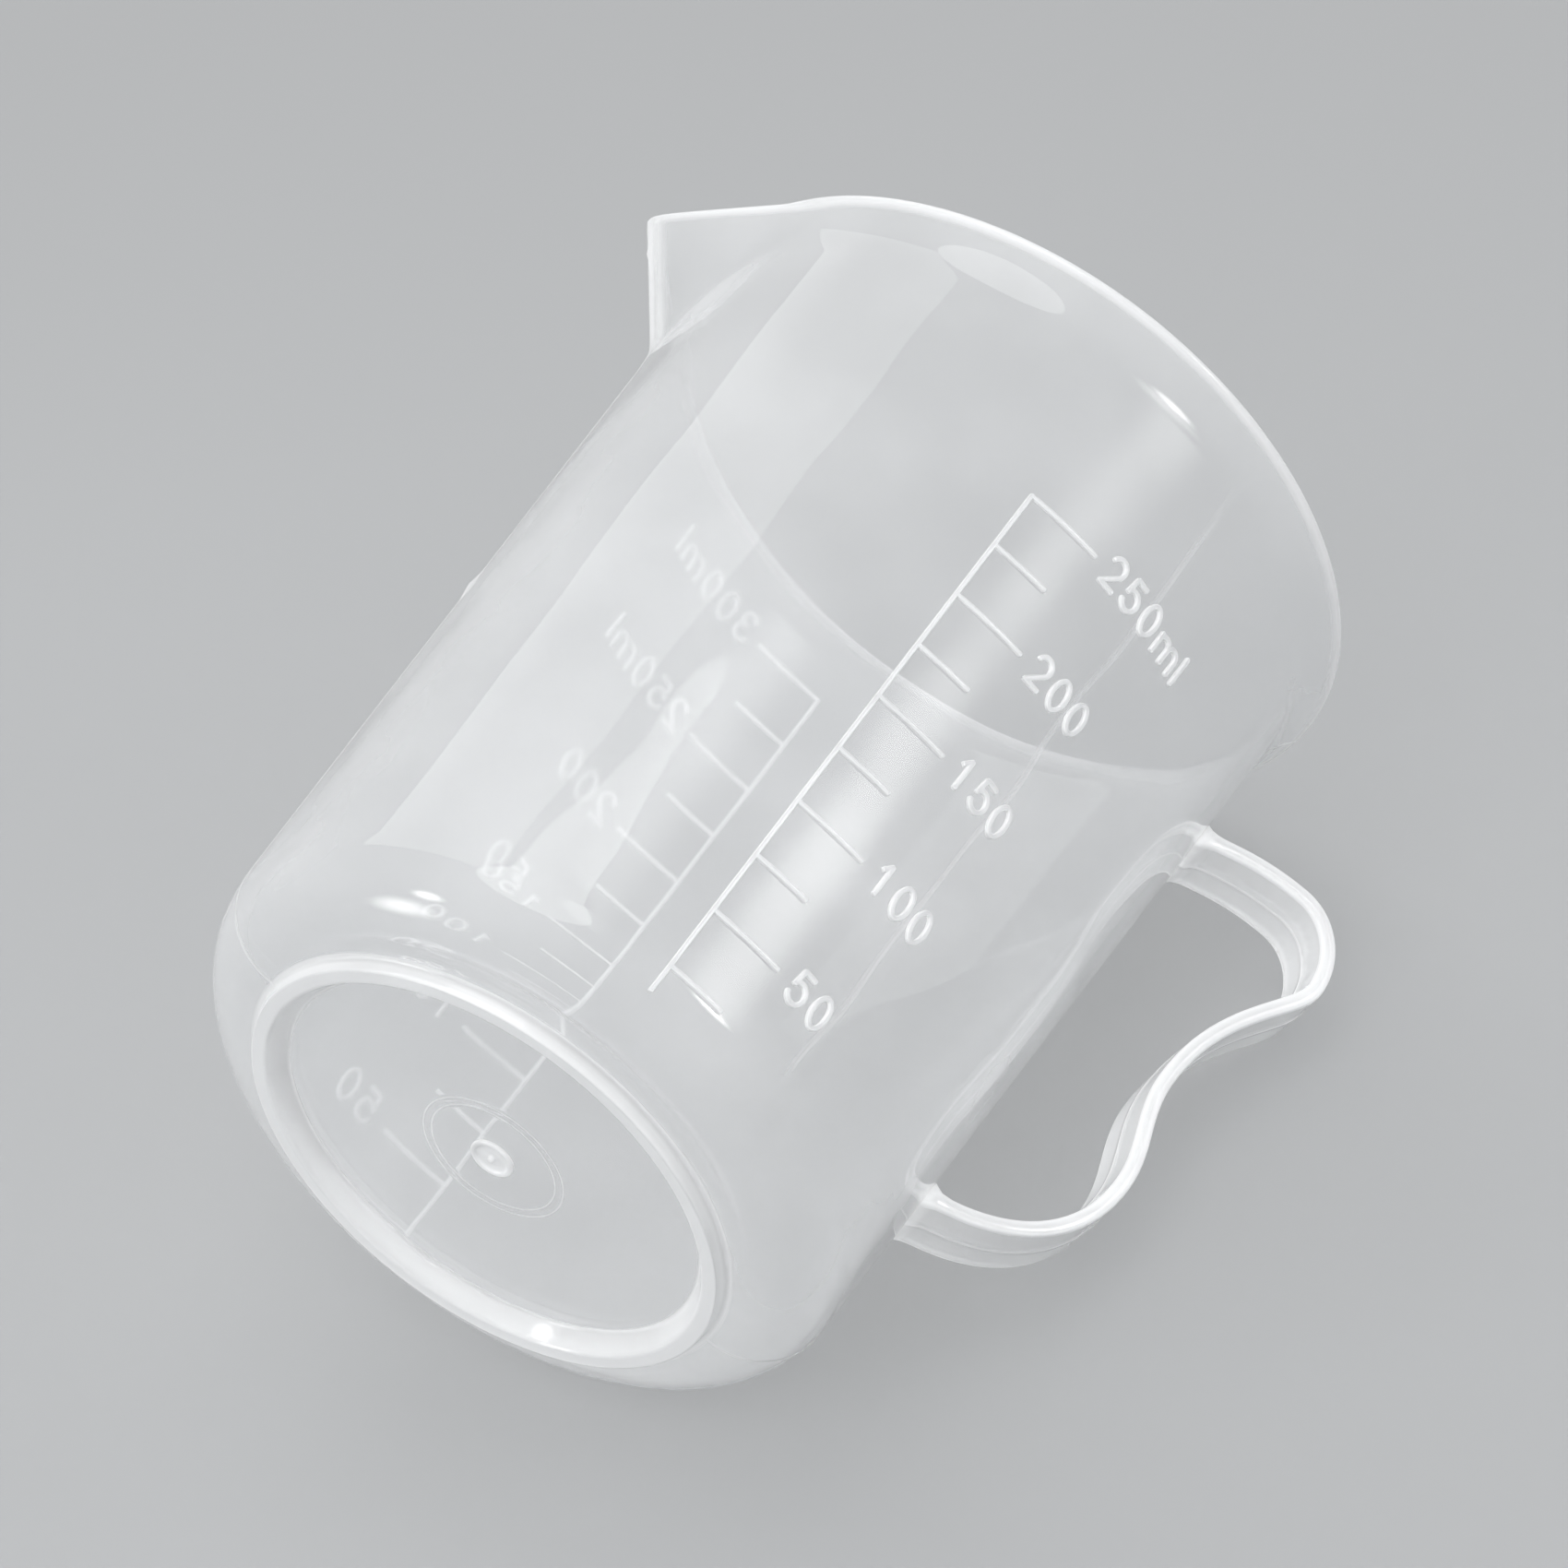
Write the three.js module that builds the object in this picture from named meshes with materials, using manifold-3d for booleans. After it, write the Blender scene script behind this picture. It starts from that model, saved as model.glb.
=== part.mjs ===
// Graduated beaker in clear plastic with a pouring spout and a strap handle.
// Millimetres, +Z up, standing on the foot ring at Z = 0.
// The spout points to -X, the handle to +X, the front scale faces -Y and the back scale +Y.
import * as THREE from 'three';
import { mergeVertices } from 'three/addons/utils/BufferGeometryUtils.js';
import Module from 'manifold-3d';

// Cup
const bodyHeight = 96.7;
const wallTopRadius = 35.6;
const wallDraft = 1.6;
const wallThickness = 1.1;
const floorThickness = 1.3;
const heelRadius = 7.8;
const flareHeight = 6.2;
const flareWidth = 2.1;
const roundSegments = 80;
const heelSteps = 6;

// Foot ring and the recess inside it
const footHeight = 1.5;
const footWidth = 1.5;
const footInset = 0.7;
const footDraft = 0.3;
const recessDepth = 2.1;
const recessSlope = 1.4;

// Pouring spout
const spoutProjection = 6.3;
const spoutHeight = 14.1;
const spoutDroop = 1.9;
const spoutBlendAngle = THREE.MathUtils.degToRad(9);
const spoutSteps = 10;

// Strap handle, a flat band bent in the X-Z plane
const handleWidth = 9.0;
const handleThickness = 1.6;
const handleTopDrop = 19.7;
const handleSpan = 51.0;
const crownRise = 2.4;
const crownSpread = 10.9;
const earSpread = 17.3;
const earDrop = 5.0;
const waistSpread = 10.5;
const waistDrop = 24.0;
const lobeSpread = 12.9;
const lobeRise = 14.9;
const handleSeat = 0.2;
const handleRootDepth = 1.0;
const handleSteps = 9;

// How far the strap's curves pull along their end directions, as shares of each stretch
const topRootPull = 0.4;
const topRootClimb = 0.3;
const crownPull = 0.56;
const earPull = 0.18;
const waistPull = 0.56;
const lobePull = 0.4;
const lowerLobePull = 0.6;
const lowRootPull = 0.53;
const lowRootClimb = 0.13;

// Raised scales: a spine with a mark for every step of volume inside the cup.
// The top mark of the back scale sits just below the flare.
const markRelief = 0.4;
const markSeat = 0.12;
const spineWidth = 0.6;
const tickWidth = 0.45;
const longTick = 8.2;
const shortTick = 6.3;
const tickSteps = 4;
const volumeStep = 25;
const frontMarks = 10;
const backMarks = 12;
const scaleZeroHeight = 1.8;
const scaleHeadroom = 3.7;
const spineFootHeight = 6.3;
const ticksPerLabel = 2;

// Raised numerals beside the long marks
const digitHeight = 4.0;
const digitWidth = 2.3;
const letterHeight = 2.9;
const letterWidth = 3.6;
const glyphGap = 0.65;
const strokeWidth = 0.45;
const labelGap = 1.5;
const baselineDrop = 1.65;
const firstUnitLabel = 250;
const bowlOpenAngle = 160;
const bowlNeckAngle = 38;
const bowlJoinAngle = 140;
const bowlSteps = 9;
const archSteps = 5;

// Gate mark in the middle of the recess
const gateRingRadius = 2.3;
const gateRingWidth = 0.6;
const gateRingHeight = 0.4;
const gateWebHeight = 0.15;
const gatePipRadius = 0.35;
const gatePipHeight = 0.6;
const gateSeat = 0.1;

const weldTolerance = 1e-4;
const quarterTurn = Math.PI / 2;

// Heights and radii that follow from the sizes above
const wallFootRadius = wallTopRadius - wallDraft;
const rimRadius = wallTopRadius + flareWidth;
const heelTopHeight = footHeight + heelRadius;
const neckHeight = bodyHeight - flareHeight;
const insideFloorHeight = recessDepth + floorThickness;
const insideHeelRadius = heelTopHeight - insideFloorHeight;
const heelCentreRadius = wallFootRadius - heelRadius;
const footRootRadius = heelCentreRadius - footInset;
const footOuterRadius = footRootRadius - footDraft;
const footInnerRadius = footOuterRadius - footWidth;
const recessRadius = footInnerRadius - recessSlope;
const flareRadius = (flareHeight ** 2 + flareWidth ** 2) / (2 * flareWidth);
const draftAngle = Math.atan2(wallDraft, neckHeight - heelTopHeight);
const spoutReach = rimRadius + spoutProjection;
const spoutRootHeight = bodyHeight - spoutHeight;
const spoutTipHeight = bodyHeight - spoutDroop;

// Radius of the straight tapered wall, outside
function wallRadius(height) {
  const share = (height - heelTopHeight) / (neckHeight - heelTopHeight);
  return wallFootRadius + wallDraft * share;
}

// Radius of a quarter round that ends tangent to the wall at the heel's top
function heelArc(topRadius, radius, height) {
  const drop = Math.min(heelTopHeight - height, radius);
  return topRadius - radius + Math.sqrt(radius ** 2 - drop ** 2);
}

// Radius of the flared lip; the inside is the same arc made wider by the wall
function flareArc(offset, height) {
  const radius = flareRadius + offset;
  const rise = Math.min(height - neckHeight, radius);
  return wallTopRadius + flareRadius - Math.sqrt(radius ** 2 - rise ** 2);
}

function outerRadius(height) {
  if (height > neckHeight) return flareArc(0, height);
  if (height < heelTopHeight) return heelArc(wallFootRadius, heelRadius, height);
  return wallRadius(height);
}

function innerRadius(height) {
  if (height > neckHeight) return flareArc(wallThickness, height);
  return wallRadius(height) - wallThickness;
}

// Spout: two flat faces that meet in a sloping ridge and touch the rim circle
const ridgeRootRadius = outerRadius(spoutRootHeight);
const ridgeSlope = (spoutReach - ridgeRootRadius) / (spoutTipHeight - spoutRootHeight);
const ridgeAtRim = ridgeRootRadius + ridgeSlope * (bodyHeight - spoutRootHeight);
const faceAngle = Math.acos(rimRadius / ridgeAtRim);
const faceTilt = Math.hypot(1, ridgeSlope * Math.cos(faceAngle));

// Height of a lathe row once the lip droops towards the spout's tip
function droopedHeight(height, turn) {
  if (height <= spoutRootHeight || turn >= faceAngle) return height;
  const towardsTip = Math.tan(faceAngle - turn) / Math.tan(faceAngle);
  const keep = 1 - (spoutDroop * towardsTip) / spoutHeight;
  return spoutRootHeight + (height - spoutRootHeight) * keep;
}

// Radius of a surface at some turn from the spout's middle, pushed out to the spout's face
function spoutedRadius(base, height, turn, inset) {
  if (height <= spoutRootHeight) return base;
  const ridge = ridgeRootRadius + ridgeSlope * (height - spoutRootHeight);
  const distance = ridge * Math.cos(faceAngle) - inset * faceTilt;
  const face = distance / Math.cos(Math.max(faceAngle - turn, 0));
  const fade = 1 - THREE.MathUtils.smoothstep(turn, faceAngle, faceAngle + spoutBlendAngle);
  return base + Math.max(face - base, 0) * fade;
}

// Profile of the cup from the underside's middle, up the outside, over the rim and down inside
function cupProfile() {
  const outside = [
    new THREE.Vector2(0, recessDepth),
    new THREE.Vector2(recessRadius, recessDepth),
    new THREE.Vector2(footInnerRadius, 0),
    new THREE.Vector2(footOuterRadius, 0),
    new THREE.Vector2(footRootRadius, footHeight),
  ];
  const inside = [];
  for (let step = 0; step <= heelSteps; step += 1) {
    const turn = (quarterTurn * step) / heelSteps;
    const out = Math.sin(turn);
    const up = 1 - Math.cos(turn);
    outside.push(new THREE.Vector2(heelCentreRadius + heelRadius * out, footHeight + heelRadius * up));
    const insideCentre = wallFootRadius - wallThickness - insideHeelRadius;
    const insideHeight = insideFloorHeight + insideHeelRadius * up;
    inside.push(new THREE.Vector2(insideCentre + insideHeelRadius * out, insideHeight));
  }
  for (let step = 0; step <= spoutSteps; step += 1) {
    const height = spoutRootHeight + (spoutHeight * step) / spoutSteps;
    outside.push(new THREE.Vector2(outerRadius(height), height));
    inside.push(new THREE.Vector2(innerRadius(height), height));
  }
  inside.unshift(new THREE.Vector2(0, insideFloorHeight));
  return { outside, inside: inside.reverse() };
}

function cupGeometry() {
  const { outside, inside } = cupProfile();
  const profile = [...outside, ...inside];
  const geometry = new THREE.LatheGeometry(profile, roundSegments);
  geometry.rotateX(quarterTurn);
  const position = geometry.attributes.position;
  for (let index = 0; index < position.count; index += 1) {
    const row = index % profile.length;
    const angle = Math.atan2(position.getY(index), position.getX(index));
    const turn = Math.PI - Math.abs(angle);
    const height = droopedHeight(profile[row].y, turn);
    const isInside = row >= outside.length;
    const surface = isInside ? innerRadius : outerRadius;
    const base = height > spoutRootHeight ? surface(height) : profile[row].x;
    const radius = spoutedRadius(base, height, turn, isInside ? wallThickness : 0);
    position.setXYZ(index, radius * Math.cos(angle), radius * Math.sin(angle), height);
  }
  return geometry;
}

// Solids for joining and cutting
const wasm = await Module();
wasm.setup();

function toSolid(geometry) {
  const bare = geometry.clone();
  bare.deleteAttribute('normal');
  bare.deleteAttribute('uv');
  const welded = mergeVertices(bare, weldTolerance);
  return new wasm.Manifold(new wasm.Mesh({
    numProp: 3,
    vertProperties: new Float32Array(welded.attributes.position.array),
    triVerts: new Uint32Array(welded.index.array),
  }));
}

function toGeometry(solid) {
  const mesh = solid.getMesh();
  const geometry = new THREE.BufferGeometry();
  geometry.setAttribute('position', new THREE.BufferAttribute(mesh.vertProperties, 3));
  geometry.setIndex(new THREE.BufferAttribute(mesh.triVerts, 1));
  geometry.computeVertexNormals();
  return geometry;
}

function join(geometries) {
  const solids = geometries.map(toSolid);
  return toGeometry(solids.reduce((whole, next) => whole.add(next)));
}

function extrude(shape, depth, curveSegments) {
  return new THREE.ExtrudeGeometry(shape, { depth, curveSegments, bevelEnabled: false });
}

// Outline of a band of even width along a smooth line
function bandShape(points, width) {
  const left = [];
  const right = [];
  points.forEach((point, index) => {
    const before = points[Math.max(index - 1, 0)];
    const after = points[Math.min(index + 1, points.length - 1)];
    const along = after.clone().sub(before).normalize();
    const side = new THREE.Vector2(-along.y, along.x).multiplyScalar(width / 2);
    left.push(point.clone().add(side));
    right.push(point.clone().sub(side));
  });
  return new THREE.Shape([...right, ...left.reverse()]);
}

// Middle line of the strap: out of the wall, over the crown, round the ear,
// in to the waist, out to the lower lobe and back to the wall
function handleLine() {
  const topHeight = bodyHeight - handleTopDrop;
  const footRootHeight = topHeight - handleSpan;
  const topRoot = new THREE.Vector2(wallRadius(topHeight) - handleRootDepth, topHeight);
  const crown = new THREE.Vector2(wallTopRadius + crownSpread, topHeight + crownRise);
  const ear = new THREE.Vector2(wallTopRadius + earSpread, topHeight - earDrop);
  const waist = new THREE.Vector2(wallTopRadius + waistSpread, topHeight - waistDrop);
  const lobe = new THREE.Vector2(wallTopRadius + lobeSpread, footRootHeight + lobeRise);
  const lowRoot = new THREE.Vector2(wallRadius(footRootHeight) - handleRootDepth, footRootHeight);
  const level = (from, reach) => new THREE.Vector2(from.x + reach, from.y);
  const plumb = (from, reach) => new THREE.Vector2(from.x, from.y + reach);
  const topRun = (crown.x - topRoot.x) * topRootPull;
  const lowRun = (lobe.x - lowRoot.x) * lowRootPull;
  const line = new THREE.CurvePath();
  line.add(new THREE.CubicBezierCurve(
    topRoot,
    new THREE.Vector2(topRoot.x + topRun, topRoot.y + topRun * topRootClimb),
    level(crown, -topRun),
    crown,
  ));
  line.add(new THREE.CubicBezierCurve(
    crown,
    level(crown, (ear.x - crown.x) * crownPull),
    plumb(ear, (crown.y - ear.y) * crownPull),
    ear,
  ));
  line.add(new THREE.CubicBezierCurve(
    ear,
    plumb(ear, (waist.y - ear.y) * earPull),
    plumb(waist, (ear.y - waist.y) * waistPull),
    waist,
  ));
  line.add(new THREE.CubicBezierCurve(
    waist,
    plumb(waist, (lobe.y - waist.y) * lobePull),
    plumb(lobe, (waist.y - lobe.y) * lobePull),
    lobe,
  ));
  line.add(new THREE.CubicBezierCurve(
    lobe,
    plumb(lobe, (lowRoot.y - lobe.y) * lowerLobePull),
    new THREE.Vector2(lowRoot.x + lowRun, lowRoot.y + lowRun * lowRootClimb),
    lowRoot,
  ));
  return line.getPoints(handleSteps);
}

// The strap, trimmed where it meets the tapered wall
function handleGeometry() {
  const strap = extrude(bandShape(handleLine(), handleThickness), handleWidth, 1);
  strap.rotateX(quarterTurn);
  strap.translate(0, handleWidth / 2, 0);
  const topRadius = wallRadius(bodyHeight) + handleSeat;
  const lowRadius = wallRadius(0) + handleSeat;
  const wall = new THREE.CylinderGeometry(topRadius, lowRadius, bodyHeight, roundSegments);
  wall.rotateX(quarterTurn);
  wall.translate(0, 0, bodyHeight / 2);
  return toGeometry(toSolid(strap).subtract(toSolid(wall)));
}

// Heights of the marks: equal steps of volume inside the tapered wall
function markHeights() {
  const topHeight = neckHeight - scaleHeadroom;
  const lowRadius = wallRadius(scaleZeroHeight) - wallThickness;
  const topRadius = wallRadius(topHeight) - wallThickness;
  const heights = [];
  for (let mark = 1; mark <= backMarks; mark += 1) {
    const radius = Math.cbrt(THREE.MathUtils.lerp(lowRadius ** 3, topRadius ** 3, mark / backMarks));
    const share = (radius - lowRadius) / (topRadius - lowRadius);
    heights.push(THREE.MathUtils.lerp(scaleZeroHeight, topHeight, share));
  }
  return heights;
}

function isLabelled(index) {
  return (index + 1) % ticksPerLabel === 0;
}

// A mark that follows the wall round from the spine
function tickGeometry(height, length) {
  const seat = wallRadius(height) + markSeat;
  const sweep = length / seat;
  const shape = new THREE.Shape();
  shape.moveTo(seat, 0);
  shape.lineTo(seat + markRelief, 0);
  shape.absarc(0, 0, seat + markRelief, 0, sweep, false);
  shape.lineTo(seat * Math.cos(sweep), seat * Math.sin(sweep));
  shape.absarc(0, 0, seat, sweep, 0, true);
  const tick = extrude(shape, tickWidth, tickSteps);
  tick.translate(0, 0, height - tickWidth / 2);
  return tick;
}

// The upright line of a scale, from the heel to the top mark
function spineGeometry(topHeight) {
  const heights = [spineFootHeight, (spineFootHeight + heelTopHeight) / 2, heelTopHeight];
  heights.push(topHeight + tickWidth / 2);
  const inner = heights.map((height) => new THREE.Vector2(outerRadius(height) + markSeat, height));
  const outer = inner.map((point) => new THREE.Vector2(point.x + markRelief, point.y));
  const spine = extrude(new THREE.Shape([...outer, ...inner.reverse()]), spineWidth, 1);
  spine.rotateX(quarterTurn);
  spine.translate(0, spineWidth / 2, 0);
  return spine;
}

// Strokes of the numerals, as lines in a box of the given width and height
function curvePoints(centreX, centreY, radiusX, radiusY, fromDegrees, toDegrees, steps) {
  const from = THREE.MathUtils.degToRad(fromDegrees);
  const to = THREE.MathUtils.degToRad(toDegrees);
  const curve = new THREE.EllipseCurve(centreX, centreY, radiusX, radiusY, from, to, to < from);
  return curve.getPoints(steps);
}

function glyphStrokes(glyph, width, height) {
  const at = (x, y) => new THREE.Vector2(x * width, y * height);
  const bow = (x, y, radiusX, radiusY, from, to, steps) => curvePoints(
    x * width,
    y * height,
    radiusX * width,
    radiusY * height,
    from,
    to,
    steps,
  );
  const strokes = {
    1: [[at(0.2, 0.76), at(0.55, 1)], [at(0.55, 1), at(0.55, 0)]],
    2: [
      [...bow(0.5, 0.7, 0.5, 0.3, bowlOpenAngle, -bowlNeckAngle, bowlSteps), at(0, 0)],
      [at(0, 0), at(1, 0)],
    ],
    3: [
      bow(0.47, 0.76, 0.46, 0.24, bowlOpenAngle, -90, bowlSteps),
      bow(0.47, 0.27, 0.53, 0.27, 90, -bowlOpenAngle, bowlSteps),
    ],
    5: [
      [at(0.95, 1), at(0.16, 1)],
      [at(0.16, 1), at(0.06, 0.5)],
      bow(0.47, 0.33, 0.53, 0.33, bowlJoinAngle, -bowlOpenAngle, bowlSteps),
    ],
    m: [
      [at(0, 0), at(0, 1)],
      [...bow(0.25, 0.68, 0.25, 0.32, 180, 0, archSteps), at(0.5, 0)],
      [...bow(0.75, 0.68, 0.25, 0.32, 180, 0, archSteps), at(1, 0)],
    ],
    l: [[at(0, 0), at(0, 1)]],
  };
  return strokes[glyph];
}

// Outer size of a glyph on the wall
function glyphSize(glyph) {
  if (glyph === 'm') return { width: letterWidth, height: letterHeight };
  if (glyph === 'l') return { width: strokeWidth, height: digitHeight };
  return { width: digitWidth, height: digitHeight };
}

function ringGeometry(width, height) {
  const shape = new THREE.Shape();
  shape.absellipse(width / 2, height / 2, width / 2, height / 2, 0, 2 * Math.PI, false, 0);
  const hole = new THREE.Path();
  const holeX = width / 2 - strokeWidth;
  const holeY = height / 2 - strokeWidth;
  hole.absellipse(width / 2, height / 2, holeX, holeY, 0, 2 * Math.PI, true, 0);
  shape.holes.push(hole);
  return extrude(shape, markRelief, bowlSteps);
}

// Lengthen a stroke's two ends by half its width, so that strokes meet in full corners
function squareEnds(points) {
  const reach = strokeWidth / 2;
  const first = points[0].clone().sub(points[1]).setLength(reach).add(points[0]);
  const last = points[points.length - 1];
  const beforeLast = points[points.length - 2];
  const end = last.clone().sub(beforeLast).setLength(reach).add(last);
  return [first, ...points.slice(1, -1), end];
}

function glyphGeometry(glyph) {
  const { width, height } = glyphSize(glyph);
  if (glyph === '0') return ringGeometry(width, height);
  const strokes = glyphStrokes(glyph, width - strokeWidth, height - strokeWidth);
  const bars = strokes.map((points) => extrude(bandShape(squareEnds(points), strokeWidth), markRelief, 1));
  const solid = join(bars);
  solid.translate(strokeWidth / 2, strokeWidth / 2, 0);
  return solid;
}

function plastic(colour, roughness) {
  return new THREE.MeshStandardMaterial({ color: colour, roughness, metalness: 0 });
}

function piece(name, geometry, colour, roughness) {
  const mesh = new THREE.Mesh(geometry, plastic(colour, roughness));
  mesh.name = name;
  return mesh;
}

const clearPlastic = 0xd4d6d8;
const edgePlastic = 0xe4e6e8;
const smooth = 0.18;
const satin = 0.3;

// One numeral, set upright on the wall with its middle at the given run from the spine
function glyphMesh(name, glyph, run, baseline) {
  const { width, height } = glyphSize(glyph);
  const geometry = glyphGeometry(glyph);
  geometry.translate(-width / 2, -height / 2, 0);
  geometry.rotateX(quarterTurn);
  geometry.rotateZ(quarterTurn);
  const middle = baseline + height / 2;
  const seat = wallRadius(middle) + markSeat;
  const mesh = piece(name, geometry, edgePlastic, satin);
  mesh.position.set(seat, 0, middle);
  mesh.rotation.y = draftAngle;
  const spot = new THREE.Group();
  spot.rotation.z = (run + width / 2) / seat;
  spot.add(mesh);
  return spot;
}

function labelGroup(side, volume, height) {
  const label = new THREE.Group();
  const unit = volume >= firstUnitLabel ? 'ml' : '';
  let run = longTick + labelGap;
  [...`${volume}${unit}`].forEach((glyph, index) => {
    const name = `${side}_label_${volume}_${index + 1}`;
    label.add(glyphMesh(name, glyph, run, height - baselineDrop));
    run += glyphSize(glyph).width + glyphGap;
  });
  return label;
}

// A whole scale with its spine on +X of its own group
function scaleGroup(side, marks) {
  const scale = new THREE.Group();
  const heights = markHeights().slice(0, marks);
  const bars = heights.map((height, index) => tickGeometry(height, isLabelled(index) ? longTick : shortTick));
  bars.push(spineGeometry(heights[heights.length - 1]));
  scale.add(piece(`${side}_scale`, join(bars), edgePlastic, satin));
  heights.forEach((height, index) => {
    if (isLabelled(index)) scale.add(labelGroup(side, (index + 1) * volumeStep, height));
  });
  return scale;
}

// The mark that the moulding's feed point leaves under the floor
function gateGeometry() {
  const top = recessDepth - gateSeat;
  const ringInside = gateRingRadius - gateRingWidth;
  const profile = [
    new THREE.Vector2(0, top - gatePipHeight),
    new THREE.Vector2(gatePipRadius, top - gatePipHeight),
    new THREE.Vector2(gatePipRadius, top - gateWebHeight),
    new THREE.Vector2(ringInside, top - gateWebHeight),
    new THREE.Vector2(ringInside, top - gateRingHeight),
    new THREE.Vector2(gateRingRadius, top - gateRingHeight),
    new THREE.Vector2(gateRingRadius, top),
    new THREE.Vector2(0, top),
  ];
  const geometry = new THREE.LatheGeometry(profile, roundSegments / 4);
  geometry.rotateX(quarterTurn);
  return geometry;
}

const beaker = new THREE.Group();
beaker.name = 'beaker';
const frontScale = scaleGroup('front', frontMarks);
frontScale.rotation.z = -quarterTurn;
const backScale = scaleGroup('back', backMarks);
backScale.rotation.z = quarterTurn;
beaker.add(
  piece('cup', cupGeometry(), clearPlastic, smooth),
  piece('handle', handleGeometry(), clearPlastic, smooth),
  piece('gate_mark', gateGeometry(), edgePlastic, satin),
  frontScale,
  backScale,
);

// The frame's origin is under the middle of the whole object, between spout tip and handle
const handleReach = wallTopRadius + earSpread + handleThickness / 2;
beaker.position.x = (spoutReach - handleReach) / 2;

export default beaker;
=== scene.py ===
import math

import bmesh
import bpy
from mathutils import Matrix, Quaternion, Vector


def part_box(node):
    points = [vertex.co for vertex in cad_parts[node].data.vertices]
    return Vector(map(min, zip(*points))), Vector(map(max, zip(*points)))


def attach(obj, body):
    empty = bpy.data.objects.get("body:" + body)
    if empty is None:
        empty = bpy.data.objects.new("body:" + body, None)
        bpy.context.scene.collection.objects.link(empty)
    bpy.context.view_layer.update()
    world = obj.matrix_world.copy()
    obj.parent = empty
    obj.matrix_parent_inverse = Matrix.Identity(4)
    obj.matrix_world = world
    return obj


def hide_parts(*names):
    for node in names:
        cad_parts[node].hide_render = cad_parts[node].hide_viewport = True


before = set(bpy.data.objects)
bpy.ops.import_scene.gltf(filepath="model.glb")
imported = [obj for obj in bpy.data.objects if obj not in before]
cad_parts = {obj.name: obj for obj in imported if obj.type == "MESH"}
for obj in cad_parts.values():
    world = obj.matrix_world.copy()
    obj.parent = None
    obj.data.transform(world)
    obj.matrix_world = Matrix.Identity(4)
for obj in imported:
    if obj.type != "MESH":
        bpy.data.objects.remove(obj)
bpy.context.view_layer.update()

MM = 0.001

# Sizes of the solids, in millimetres; the cup's reach is read from the frame
CUP_LOW, CUP_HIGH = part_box("cup")
RIM_Z = CUP_HIGH[2] / MM
RIM_R = CUP_HIGH[1] / MM
AXIS_X = CUP_HIGH[0] / MM - RIM_R
SPOUT_TIP_R = AXIS_X - CUP_LOW[0] / MM
NECK_Z = 90.5
NECK_R = 35.6
HEEL_TOP_Z = 9.3
HEEL_TOP_R = 34.0
HEEL_R = 7.8
WALL = 1.1
FLOOR_Z = 3.4
FOOT_Z = 1.5
RECESS_Z = 2.1
RECESS_R = 22.3
FOOT_IN = 23.7
FOOT_OUT = 25.2
FOOT_ROOT = 25.5

# Gap between the wall and every mark, and between the wall and the handle's roots
SEAT = 0.03

# Spout: its root and droop as in the photograph, and how soft its edges are
SPOUT_DROOP = 1.4
SPOUT_ROOT_Z = 81.9
SPOUT_BLEND = math.radians(9)
SPOUT_LEAD_IN = 2.0
RIDGE_ROUND = math.radians(1.3)
TIP_LOSS = 0.45
DROOP_SOFT = 0.25
FOLD_RIM = 0.05
FOLD_EXTRA = 0.45

# Thin traces of the mould on the cup, in millimetres and radians
CIRCLES = (6.7, 7.6)
CIRCLE_RISE = 0.03
SEAM_RISE = 0.06
SEAM_HALF = math.radians(0.5)
# specks of flash as (height on the spout's side, size)
FLASH = ((53.6, 0.34), (48.7, 0.26), (27.4, 0.2), (91.6, 0.2))
FLASH_LENGTH = 0.35
FLASH_REACH = 0.02

# Haze of the cup's regions, from 0 for clear to 1 for white
CLEAR_HAZE = 0.03
CIRCLE_HAZE = 0.35
FOOT_HAZE = 0.6
FOOT_ROOT_HAZE = 0.5
HEEL_HAZE = 0.14
HEEL_TOP_HAZE = 0.04
FLARE_HAZE = 0.1
# the rim's whiteness is partly a painted bright line along its edge
RIM_PAINTED_LINE_HAZE = 0.5
INNER_HEEL_HAZE = 0.06
RIDGE_HAZE = 0.6
SEAM_HAZE = 0.35

# Numbers of steps round the heel, up the spout's height, over the rim and round the inner heel
HEEL_STEPS = 22
TOP_STEPS = 30
RIM_STEPS = 10
INNER_HEEL_STEPS = 14


# Small helpers

def smoothstep(low, high, value):
    t = min(max((value - low) / (high - low), 0.0), 1.0)
    return t * t * (3 - 2 * t)


def smooth_max(a, b, width):
    return 0.5 * (a + b + math.hypot(a - b, width))


def new_object(name, mesh):
    obj = bpy.data.objects.new(name, mesh)
    bpy.context.scene.collection.objects.link(obj)
    return obj


def make_mesh(name, points, faces, haze_and_painted_light=None):
    """A smooth-shaded mesh from points in millimetres on the cup's axis."""
    mesh = bpy.data.meshes.new(name)
    mesh.from_pydata([((x + AXIS_X) * MM, y * MM, z * MM) for x, y, z in points], [], faces)
    if haze_and_painted_light is not None:
        # this attribute holds real haze and painted light: bright rim and edge lines and the brighter
        # back marks
        layer = mesh.attributes.new("haze_and_painted_light", "FLOAT", "POINT")
        layer.data.foreach_set("value", haze_and_painted_light)
    mesh.update()
    tidy = bmesh.new()
    tidy.from_mesh(mesh)
    bmesh.ops.remove_doubles(tidy, verts=tidy.verts, dist=1e-8)
    bmesh.ops.recalc_face_normals(tidy, faces=tidy.faces)
    tidy.to_mesh(mesh)
    tidy.free()
    mesh.shade_smooth()
    return mesh


def arc(centre_r, centre_z, radius, start, end, steps):
    """Points of a round in the (radius, height) plane, angles in degrees from +radius."""
    out = []
    for k in range(steps + 1):
        a = math.radians(start + (end - start) * k / steps)
        out.append((centre_r + radius * math.cos(a), centre_z + radius * math.sin(a)))
    return out


# The cup's surfaces

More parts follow.
